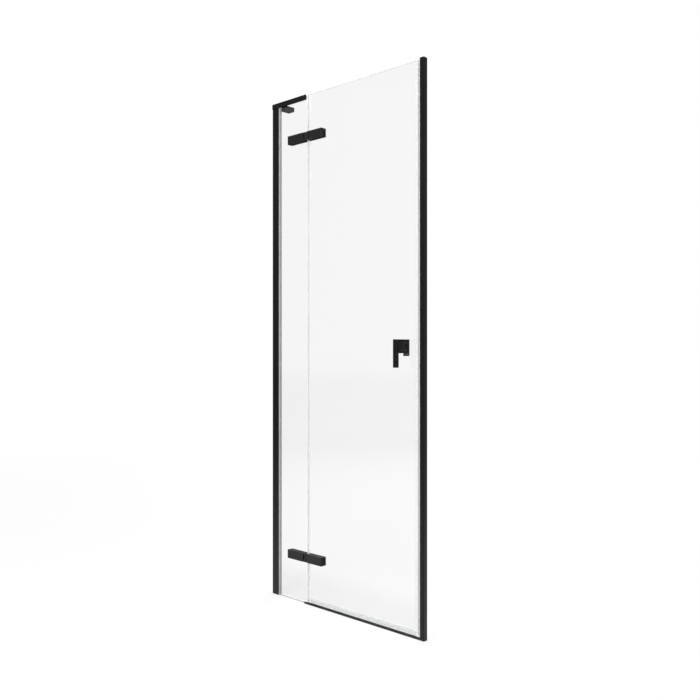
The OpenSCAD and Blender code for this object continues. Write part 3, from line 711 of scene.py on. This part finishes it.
def filleted(points, radii, steps=4):
    """Outline whose corners are rounded; radii is one radius or one for each corner."""
    if isinstance(radii, (int, float)):
        radii = [radii] * len(points)
    made = []
    for i, (point, radius) in enumerate(zip(points, radii)):
        here = Vector(point)
        back = Vector(points[i - 1]) - here
        ahead = Vector(points[(i + 1) % len(points)]) - here
        turn = back.angle(ahead)
        if radius <= 0 or turn > STRAIGHT:
            made.append(here[:])
            continue
        most = min(back.length * FILLET_SHARE, ahead.length * FILLET_SHARE)
        reach = min(radius / math.tan(turn / 2), most)
        round_r = reach * math.tan(turn / 2)
        halfway = (back.normalized() + ahead.normalized()).normalized()
        centre = here + halfway * (round_r / math.sin(turn / 2))
        start = here + back.normalized() * reach - centre
        end = here + ahead.normalized() * reach - centre
        sweep = start.angle_signed(end)
        for k in range(steps + 1):
            a = -sweep * k / steps
            made.append((
                centre.x + start.x * math.cos(a) - start.y * math.sin(a),
                centre.y + start.x * math.sin(a) + start.y * math.cos(a),
            ))
    return made


def rectangle(low, high):
    """Corners of a rectangle, in order round it."""
    return [(low[0], low[1]), (high[0], low[1]), (high[0], high[1]), (low[0], high[1])]


# Black parts

def trimmed(node, edge, pick, slot="satin_black", body=FRAME):
    """A node's own solid with the edges that pick accepts rounded."""
    bm = copy_of(node)
    low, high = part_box(node)
    soften(bm, edge, lambda e: pick(e, low, high))
    return piece(shaded(to_object(node, bm, [slot])), node + "_trim", body, slot, node)


def long_corner(e, low, high):
    """An upright's outer corner."""
    return runs_along(e, 2) and on_outline(e, low, high)


def away_from_glass(e, low, high):
    """An outer corner that doesn't lie on the glass."""
    glass_side = high.y if high.y < 0 else low.y
    return e.is_convex and on_outline(e, low, high) and abs(middle(e).y - glass_side) > TOUCH


def grip_corner(e, low, high):
    """A convex edge of the handle's front part, apart from those on the glass."""
    return e.is_convex and middle(e).y < high.y - TOUCH


def build_trimmed_parts():
    """Black parts that keep their solids' shape and get rounded edges."""
    trimmed("glazing_profile", EXTRUSION_EDGE, long_corner)
    trimmed("strike_profile", EXTRUSION_EDGE, long_corner)
    trimmed("top_rail", RAIL_EDGE, on_outline)
    trimmed("rail_bracket", EXTRUSION_EDGE, on_outline)
    trimmed("strike_cap", EXTRUSION_EDGE, on_outline)
    trimmed("threshold_cap", CAP_EDGE, on_outline, slot="black_plastic")
    for level in LEVELS:
        trimmed("hinge_plate_fixed_" + level, PLATE_EDGE, away_from_glass)
        trimmed("hinge_plate_door_" + level, PLATE_EDGE, away_from_glass, body=DOOR)
    trimmed("handle_inner", HANDLE_EDGE, away_from_glass, body=DOOR)
    trimmed("handle_grip", HANDLE_EDGE, grip_corner, body=DOOR)


def build_threshold():
    """Strip on the tray with round shoulders, cut back round the fixed pane's corner."""
    low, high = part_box("threshold")
    outline = filleted(
        rectangle((low.y, low.z), (high.y, high.z)), [0, 0, THRESHOLD_ROUND, THRESHOLD_ROUND], steps=8
    )
    made = strip("threshold", 0, [([outline], low.x, high.x)], "satin_black")
    notch = bmesh.new()
    start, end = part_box("threshold_cap")[1].y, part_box("fixed_glass")[1].x + NOTCH_CLEAR
    add_block(notch, (low.x - CUT, start, low.z - CUT), (end, high.y + CUT, high.z + CUT))
    made = shaded(joined(made, notch))
    return piece(made, "threshold_strip", FRAME, "satin_black", "threshold")


def socket_grooves(mouth):
    """The hollow of a threaded socket, from its chamfered mouth inwards."""
    profile = [(SOCKET_R + SOCKET_CHAMFER, NICK), (SOCKET_R, -SOCKET_CHAMFER)]
    while -profile[-1][1] < SOCKET_DEPTH - SOCKET_PITCH:
        start = profile[-1][1]
        profile.append((SOCKET_R + SOCKET_GROOVE, start - SOCKET_PITCH * GROOVE_DEEPEST))
        profile.append((SOCKET_R, start - SOCKET_PITCH * GROOVE_END))
    grooves = bmesh.new()
    turned(grooves, mouth, INWARD, profile, SOCKET_SIDES)
    return grooves


def build_brace_bracket():
    """Bracket behind the fixed pane, with the grooves of its threaded socket."""
    bm = copy_of("brace_bracket")
    low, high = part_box("brace_bracket")
    soften(bm, PLATE_EDGE, lambda e: away_from_glass(e, low, high))
    # The brace takes the copy of satin black with painted shade
    made = to_object("brace_bracket", bm, ["brace_black"])
    mount = next(m for m in frame["record"]["mounts"] if m["name"] == "brace_socket")
    joined(made, socket_grooves(mount["pos_m"]))
    return piece(shaded(made), "brace_bracket_trim", FRAME, "satin_black", "brace_bracket")


def rounded_drum(centre, radius, low, high, edge, steps=4):
    """Upright round knuckle with rounded rims."""
    turns = [math.pi / 2 * k / steps for k in range(steps + 1)]
    profile = [(radius - edge + edge * math.sin(a), low + edge - edge * math.cos(a)) for a in turns]
    profile += [(radius - edge + edge * math.cos(a), high - edge + edge * math.sin(a)) for a in turns]
    bm = bmesh.new()
    turned(bm, (centre.x, centre.y, 0), UPWARD, profile)
    return bm


def leaf_block(node, low, high):
    """A leaf's block with round front corners and eased edges, apart from those on the glass."""
    bm = bmesh.new()
    add_block(bm, low, high)
    soften(bm, LEAF_CORNER, lambda e: runs_along(e, 2) and middle(e).y < low.y + JOIN, segments=8)
    soften(bm, LEAF_EDGE, lambda e: middle(e).y < high.y - JOIN)
    return to_object(node, bm, ["hinge_black"])


def add_knuckle(made, radius, web_x, low_z, high_z):
    """Melts a knuckle and the web that carries it into a leaf."""
    web = bmesh.new()
    add_block(
        web,
        (web_x[0], HINGE_AXIS.y - WEB_HALF, low_z + WEB_INSET),
        (web_x[1], HINGE_AXIS.y + WEB_HALF, high_z - WEB_INSET),
    )
    joined(made, web, "UNION")
    joined(made, rounded_drum(HINGE_AXIS, radius, low_z, high_z, KNUCKLE_EDGE), "UNION")


def drill(made, spot, axis, radius, start, end):
    """Drills a round hole between two places along an axis through the spot."""
    tool = bmesh.new()
    turned(tool, spot, axis, [(radius, start), (radius, end)])
    joined(made, tool)


def tap_leaf(made, screw_node, low, high):
    """Drills the holes for the screws that come from behind into one leaf."""
    for box_low, box_high in solids_of(screw_node):
        spot = (box_low + box_high) / 2
        if low.z < spot.z < high.z:
            shank = SCREW_SIZES[screw_node][0]
            drill(made, (spot.x, 0, spot.z), INWARD, shank, high.y - THREAD_DEPTH, high.y + CUT)


def hinge_leaf(side, level):
    """One leaf: a block with its knuckles and webs, bored for the pin and drilled for its screws."""
    node = f"hinge_leaf_{side}_{level}"
    low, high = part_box(node)
    if side == "fixed":
        body, bore_r, radius = FRAME, PIN_R, high.x - HINGE_AXIS.x
        start, end = low.x, HINGE_AXIS.x - KNUCKLE_GAP
        web_x = (end - WEB_REACH, HINGE_AXIS.x)
        spans = [(low.z, low.z + OUTER_KNUCKLE_H), (high.z - OUTER_KNUCKLE_H, high.z)]
    else:
        body, bore_r, radius = DOOR, BUSH_R, HINGE_AXIS.x - low.x
        start, end = HINGE_AXIS.x + KNUCKLE_GAP, high.x
        web_x = (HINGE_AXIS.x, start + WEB_REACH)
        spans = [(low.z + MIDDLE_KNUCKLE_Z, high.z - MIDDLE_KNUCKLE_Z)]
    made = leaf_block(node, Vector((start, low.y, low.z)), Vector((end, high.y, high.z)))
    for span in spans:
        add_knuckle(made, radius, web_x, *span)
    drill(made, (HINGE_AXIS.x, HINGE_AXIS.y, 0), UPWARD, bore_r, low.z - CUT, high.z + CUT)
    tap_leaf(made, f"hinge_screws_{side}", low, high)
    return piece(shaded(made), node + "_trim", body, "satin_black", node)


# Glass, seals and gaskets

def build_pane(node, body):
    """Pane with seamed outer edges; the walls of its holes are clear."""
    bm = copy_of(node)
    low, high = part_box(node)
    soften(bm, GLASS_ARRIS, lambda e: on_outline(e, low, high), segments=1)
    bm.normal_update()
    for face in bm.faces:
        place = face.calc_center_median()
        inset = min(place.x - low.x, high.x - place.x, place.z - low.z, high.z - place.z)
        seamed = abs(face.normal.y) < PANE_FACE and inset < 2 * GLASS_ARRIS
        face.material_index = 1 if seamed else 0
    made = to_object(node, bm, ["clear_glass", "glass_edge"])
    return piece(made, node + "_pane", body, "clear_glass", node)


def build_closing_seal():
    """Clear seal on the door's closing edge, with a chamber and the pocket for the magnet strip."""
    low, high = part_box("closing_seal")
    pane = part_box("door_glass")[1]
    magnet_low, magnet_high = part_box("door_magnet")
    outline = filleted(
        [
            (low.x, low.y), (high.x, low.y), (high.x, high.y), (low.x, high.y),
            (low.x, pane.y), (pane.x, pane.y), (pane.x, -pane.y), (low.x, -pane.y),
        ],
        [SEAL_TIP, SEAL_CORNER, SEAL_CORNER, SEAL_TIP, SEAL_TIP, 0, 0, SEAL_TIP],
    )
    half = magnet_high.y + MAGNET_FIT
    chamber = filleted(
        rectangle((pane.x + SEAL_WEB, -half), (magnet_low.x - MAGNET_FIT - SEAL_WALL, half)), SEAL_BEND
    )
    pocket = rectangle((magnet_low.x - MAGNET_FIT, -half), (magnet_high.x + MAGNET_FIT, half))
    made = strip("closing_seal", 2, [([outline, chamber, pocket], low.z, high.z)], "clear_seal")
    return piece(made, "closing_seal_strip", DOOR, "clear_seal", "closing_seal")


def build_hinge_seal():
    """Clear seal on the door's hinge edge, with its fin behind the fixed pane, in three lengths."""
    low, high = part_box("hinge_seal")
    pane_low, pane_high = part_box("door_glass")
    clip = pane_low.x - SEAL_WEB
    under = pane_high.y + FIN_GAP
    outline = filleted(
        [
            (clip, low.y), (high.x, low.y), (high.x, pane_low.y), (pane_low.x, pane_low.y),
            (pane_low.x, pane_high.y), (high.x, pane_high.y), (high.x, high.y), (clip, high.y),
            (low.x, under + SEAL_FIN), (low.x, under), (clip, under),
        ],
        [SEAL_BEND, SEAL_TIP, SEAL_TIP, 0, 0, SEAL_TIP, SEAL_TIP, SEAL_BEND,
         SEAL_TIP, SEAL_TIP, SEAL_TIP],
    )
    spans = [([outline], a.z, b.z) for a, b in solids_of("hinge_seal")]
    made = strip("hinge_seal", 2, spans, "clear_seal")
    return piece(made, "hinge_seal_strip", DOOR, "clear_seal", "hinge_seal")


def build_drip_seal():
    """Clear seal under the door: clip, blade over the threshold and drip fin to the inside."""
    low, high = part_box("drip_seal")
    pane_low, pane_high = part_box("door_glass")
    seal_y, web = -low.y, pane_low.z - SEAL_WALL
    blade = BLADE / 2
    outline = filleted(
        [
            (-seal_y, web), (-blade, web), (-blade, low.z), (blade, low.z), (blade, web),
            (seal_y - SEAL_WALL, web), (high.y, low.z + BLADE), (high.y, low.z + 2 * BLADE),
            (seal_y, pane_low.z + SEAL_WALL), (seal_y, high.z), (pane_high.y, high.z),
            (pane_high.y, pane_low.z), (pane_low.y, pane_low.z), (pane_low.y, high.z), (-seal_y, high.z),
        ],
        [SEAL_BEND, SEAL_TIP, SEAL_TIP, SEAL_TIP, SEAL_TIP, SEAL_BEND, SEAL_TIP, SEAL_TIP,
         SEAL_BEND, SEAL_TIP, SEAL_TIP, 0, 0, SEAL_TIP, SEAL_TIP],
    )
    made = strip("drip_seal", 0, [([outline], low.x, high.x)], "clear_sweep")
    return piece(made, "drip_seal_strip", DOOR, "clear_seal", "drip_seal")


def build_gasket(node, side):
    """Grey wedge between profile and glass, hollowed outside and ending in a round lip."""
    low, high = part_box(node)
    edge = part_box("glazing_profile")[1].x
    face = side * min(abs(low.y), abs(high.y))
    inner = side * max(abs(low.y), abs(high.y))
    lip = face + side * GASKET_LIP
    flank = []
    for k in reversed(range(GASKET_STEPS)):
        t = k / GASKET_STEPS
        flank.append((edge + (high.x - edge) * t, lip + (inner - lip) * GASKET_ROOT * (1 - t) ** 2))
    outline = [
        (low.x, face), (high.x, face), (high.x, lip), *flank, (edge, inner), (low.x, inner),
    ]
    radii = [0, SEAL_TIP, SEAL_TIP] + [0] * (len(outline) - 3)
    made = strip(node, 2, [([filleted(outline, radii)], low.z, high.z)], "grey_gasket")
    return piece(made, node + "_strip", FRAME, "grey_gasket", node)


def build_pane_bead():
    """Bead between the fixed pane and the tray: a clear seal painted dark grey, a painted shadow along the pane's
    foot.
    """
    low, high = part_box("fixed_glass_seal")
    waist, mid = high.y - BEAD_WAIST, (low.z + high.z) / 2
    outline = filleted(
        [
            (low.y, low.z), (high.y, low.z), (waist, mid),
            (high.y, high.z), (low.y, high.z), (-waist, mid),
        ],
        [SEAL_TIP, SEAL_TIP, SEAL_BEND, SEAL_TIP, SEAL_TIP, SEAL_BEND],
    )
    made = strip("fixed_glass_seal", 0, [([outline], low.x, high.x)], "clear_bead")
    return piece(made, "fixed_glass_bead", FRAME, "clear_seal", "fixed_glass_seal")


# Screws

def screws(node):
    """The screws of one kind, each at its place in the node."""
    shank, head_h = SCREW_SIZES[node]
    boxes = solids_of(node)
    low, high = boxes[0]
    bm = bmesh.new()
    for a, b in boxes:
        spot = (a + b) / 2
        bm.verts.new((spot.x, b.y, spot.z))
    made = to_object(node, bm, [])
    return grown(
        made, SCREW_TREE, Head_radius=(high.x - low.x) / 2, Shank_radius=shank,
        Head_height=head_h, Length=high.y - low.y, Rim=SCREW_RIM, Socket_radius=shank * HEXAGON_R,
        Finish=LOOKS["black_screw_steel"],
    )


def build_screws(name, body, *nodes):
    """All the screws of one body as one mesh."""
    bm = bmesh.new()
    for node in nodes:
        made = screws(node)
        bm.from_mesh(made.data)
        bpy.data.objects.remove(made)
    made = shaded(to_object(name, bm, ["black_screw_steel"]))
    return piece(made, name, body, "black_screw_steel", *nodes)


# Finish of the kept solids

KEPT = {
    "satin_black": ("wall_channel", "strike_channel"),
    "black_rubber": ("setting_block", "rail_pad", "brace_pad", "hinge_pads_fixed", "hinge_pads_door",
                     "handle_pads"),
    "pin_steel": ("hinge_pin_lower", "hinge_pin_upper"),
    "nylon": ("brace_sleeve", "hinge_sleeves_fixed", "hinge_sleeves_door"),
    "black_plastic": ("hinge_bushes_lower", "hinge_bushes_upper", "handle_sleeves"),
    "magnet_strip": ("strike_magnet",),
    "white_magnet_strip": ("door_magnet",),
}


def finish_kept_solids():
    """Gives each solid that shows as it is its finish."""
    for look, nodes in KEPT.items():
        for node in nodes:
            materials = NODES[node].data.materials
            materials.clear()
            materials.append(LOOKS[look])


# Studio

# Light that the room throws on the object, and how bright the background looks
ROOM_LIGHT = 0.5
PALE = 1.0

# Floor: half its width, how far it lies under the door, and how much of it is matt
FLOOR_REACH = 80.0
FLOOR_DROP = 0.5 * MM
FLOOR_MATT = 0.25

# Light of the softboxes on the floor near the door, and the distances from the hinge-side corner
# between which it fades out
LAMP_LIGHT = 0.6
LAMP_NEAR, LAMP_FAR = 0.8, 7.4

# Walls in sharp reflections: their levels, and the sine of the height between the two
SHARP_WALLS, SHARP_CEILING = 0.49, 0.06
WALL_LOW, WALL_HIGH = 0.3, 0.42

# Floor in sharp reflections: its level near the door, further off and at the horizon, and the
# distances from the hinge-side corner between which each fades into the next
SHARP_FLOOR, SHARP_FAR_FLOOR, SHARP_HORIZON = 0.64, 0.06, 0.45
SHARP_NEAR, SHARP_FAR = 1.0, 5.6
HORIZON_NEAR, HORIZON_FAR = 20.0, 40.0

# Shade on the floor in sharp reflections: the light left in it, and where it begins and is full
SHADE_SHARE, SHADE_START, SHADE_END = 0.05, -0.39, -0.2

# Walls and floor in soft reflections, in front of the door and behind it
SOFT_WALLS, SOFT_BEHIND = 0.28, 0.47
SOFT_FLOOR, SOFT_FAR_FLOOR = 0.95, 0.1
FLOOR_BEHIND, FAR_BEHIND = 1.35, 0.5
SOFT_NEAR, SOFT_FAR = 0.6, 3.5
WALL_FADE, FLOOR_FADE = 0.2, 0.1

# Softboxes, aimed at the middle of the door: place, size and power of each
DOOR_MIDDLE = (0.4, 0.0, 1.0)
SOFTBOXES = {
    "front_softbox": ((1.6, -4.4, 1.7), 2.4, 120.0),
    "overhead_softbox": ((0.4, -0.4, 4.2), 2.6, 60.0),
    "back_softbox": ((-1.4, 3.4, 3.6), 2.4, 90.0),
}

# Camera, level and turned as in the photograph
CAMERA_SPOT = (2.5793, -2.1879, 0.9964)
CAMERA_TURN = math.radians(44.408)
CAMERA_LENS, CAMERA_SENSOR = 42.165, 36.0
CAMERA_NEAR, CAMERA_FAR = 0.05, 100.0


def background_share(tree):
    """1 where the camera, a reflection or a view through glass looks at the background, else 0."""
    path = tree.nodes.new("ShaderNodeLightPath")
    share = path.outputs["Is Camera Ray"]
    for name in ("Is Glossy Ray", "Is Transmission Ray"):
        share = reckon(tree, "MAXIMUM", share, path.outputs[name])
    return share


def mixed_value(tree, factor, first, second):
    """A value between two others, each given as a number or a node value."""
    made = tree.nodes.new("ShaderNodeMix")
    for name, value in (("Factor", factor), ("A", first), ("B", second)):
        put(tree, made.inputs[name], value)
    return made.outputs["Result"]


def background_strength(tree, seen, sharp, soft):
    """How bright the background is where it is seen, mirrored sharply, or mirrored softly."""
    path = tree.nodes.new("ShaderNodeLightPath")
    mirrored = mixed_value(tree, path.outputs["Is Singular Ray"], soft, sharp)
    return mixed_value(tree, path.outputs["Glossy Depth"], seen, mirrored)


def make_world():
    """White where it is looked at, dim where it is reflected, and an even light for the object."""
    world = bpy.data.worlds.new("studio")
    world.use_nodes = True
    tree = world.node_tree
    plain, seen = tree.nodes["Background"], tree.nodes.new("ShaderNodeBackground")
    for shader in (plain, seen):
        shader.inputs["Color"].default_value = (1, 1, 1, 1)
    plain.inputs["Strength"].default_value = ROOM_LIGHT
    way = tree.nodes.new("ShaderNodeTexCoord").outputs["Generated"]
    rise, depth = coordinate(tree, way, "Z"), coordinate(tree, way, "Y")
    sharp = spread(tree, rise, SHARP_WALLS, SHARP_CEILING, WALL_LOW, WALL_HIGH)
    soft = spread(tree, depth, SOFT_WALLS, SOFT_BEHIND, -WALL_FADE, WALL_FADE)
    put(tree, seen.inputs["Strength"], background_strength(tree, PALE, sharp, soft))
    mix_at_output(tree, background_share(tree), plain.outputs[0], seen.outputs[0], "World Output")
    bpy.context.scene.world = world


def faded(tree, away, near, far, start, end):
    """A level that goes smoothly from near to far between two distances."""
    level = spread(tree, away, near, far, start, end)
    level.node.interpolation_type = "SMOOTHSTEP"
    return level


def floor_levels(tree):
    """The floor's own level where it is seen, where it is mirrored sharply, and softly.

    Where it is seen, its own level adds to the light on its matt share what is missing from white.
    """
    place = in_object(tree)
    distance = tree.nodes.new("ShaderNodeVectorMath")
    distance.operation = "LENGTH"
    tree.links.new(place, distance.inputs[0])
    away, depth = distance.outputs["Value"], coordinate(tree, place, "Y")
    far_level = PALE - FLOOR_MATT * ROOM_LIGHT
    seen = faded(tree, away, far_level - FLOOR_MATT * LAMP_LIGHT, far_level, LAMP_NEAR, LAMP_FAR)
    shade = spread(tree, depth, 1.0, SHADE_SHARE, SHADE_START, SHADE_END)
    floor = faded(tree, away, SHARP_FLOOR, SHARP_FAR_FLOOR, SHARP_NEAR, SHARP_FAR)
    horizon = spread(tree, away, SHARP_FAR_FLOOR, SHARP_HORIZON, HORIZON_NEAR, HORIZON_FAR)
    sharp = reckon(tree, "MULTIPLY", shade, reckon(tree, "MAXIMUM", floor, horizon))
    soft = mixed_value(
        tree,
        spread(tree, depth, 0.0, 1.0, -FLOOR_FADE, FLOOR_FADE),
        spread(tree, away, SOFT_FLOOR, SOFT_FAR_FLOOR, SOFT_NEAR, SOFT_FAR),
        spread(tree, away, FLOOR_BEHIND, FAR_BEHIND, SOFT_NEAR, SOFT_FAR),
    )
    return seen, sharp, soft


def floor_material():
    """Pale floor: near white with a soft shadow where seen, and dimmer far away in reflections."""
    made = new_material("studio_floor", (0.8, 0.8, 0.8), 0.9)
    tree = made.node_tree
    matt = tree.nodes.new("ShaderNodeBsdfDiffuse")
    tree.links.new(background_strength(tree, FLOOR_MATT, 0.0, 0.0), matt.inputs["Color"])
    glow = tree.nodes.new("ShaderNodeEmission")
    tree.links.new(background_strength(tree, *floor_levels(tree)), glow.inputs["Strength"])
    both = tree.nodes.new("ShaderNodeAddShader")
    tree.links.new(matt.outputs[0], both.inputs[0])
    tree.links.new(glow.outputs[0], both.inputs[1])
    plain = tree.nodes["Principled BSDF"]
    mix_at_output(tree, background_share(tree), plain.outputs[0], both.outputs[0])
    return made


def make_floor():
    """Wide floor just under the door."""
    bm = bmesh.new()
    corners = rectangle((-FLOOR_REACH, -FLOOR_REACH), (FLOOR_REACH, FLOOR_REACH))
    bm.faces.new([bm.verts.new((x, y, -FLOOR_DROP)) for x, y in corners])
    floor = to_object("studio_floor", bm, [])
    floor.data.materials.append(floor_material())


def add_softbox(name, spot, size, power):
    """Softbox that lights the door without being seen itself."""
    lamp = bpy.data.lights.new(name, "AREA")
    lamp.size, lamp.energy = size, power
    made = bpy.data.objects.new(name, lamp)
    made.location = spot
    made.rotation_euler = (Vector(DOOR_MIDDLE) - Vector(spot)).to_track_quat("-Z", "Y").to_euler()
    made.visible_camera = made.visible_transmission = False
    bpy.context.scene.collection.objects.link(made)


def make_camera():
    """Camera at the photograph's viewing angle."""
    data = bpy.data.cameras.new("camera")
    data.lens, data.sensor_width = CAMERA_LENS, CAMERA_SENSOR
    data.clip_start, data.clip_end = CAMERA_NEAR, CAMERA_FAR
    made = bpy.data.objects.new("camera", data)
    made.location = CAMERA_SPOT
    made.rotation_euler = (math.radians(90), 0.0, CAMERA_TURN)
    bpy.context.scene.collection.objects.link(made)
    bpy.context.scene.camera = made


# The door

build_trimmed_parts()
build_threshold()
build_brace_bracket()
for level in LEVELS:
    hinge_leaf("fixed", level)
    hinge_leaf("door", level)
build_pane("fixed_glass", FRAME)
build_pane("door_glass", DOOR)
build_closing_seal()
build_hinge_seal()
build_drip_seal()
build_gasket("glazing_gasket_front", -1)
build_gasket("glazing_gasket_back", 1)
build_pane_bead()
build_screws(
    "frame_screws", FRAME, "profile_lock_screws", "strike_lock_screws", "rail_screws", "brace_screw",
    "hinge_screws_fixed",
)
build_screws("door_screws", DOOR, "hinge_screws_door", "handle_screws")
finish_kept_solids()

make_world()
make_floor()
for name, values in SOFTBOXES.items():
    add_softbox(name, *values)
make_camera()
bpy.context.scene.view_settings.view_transform = "Standard"
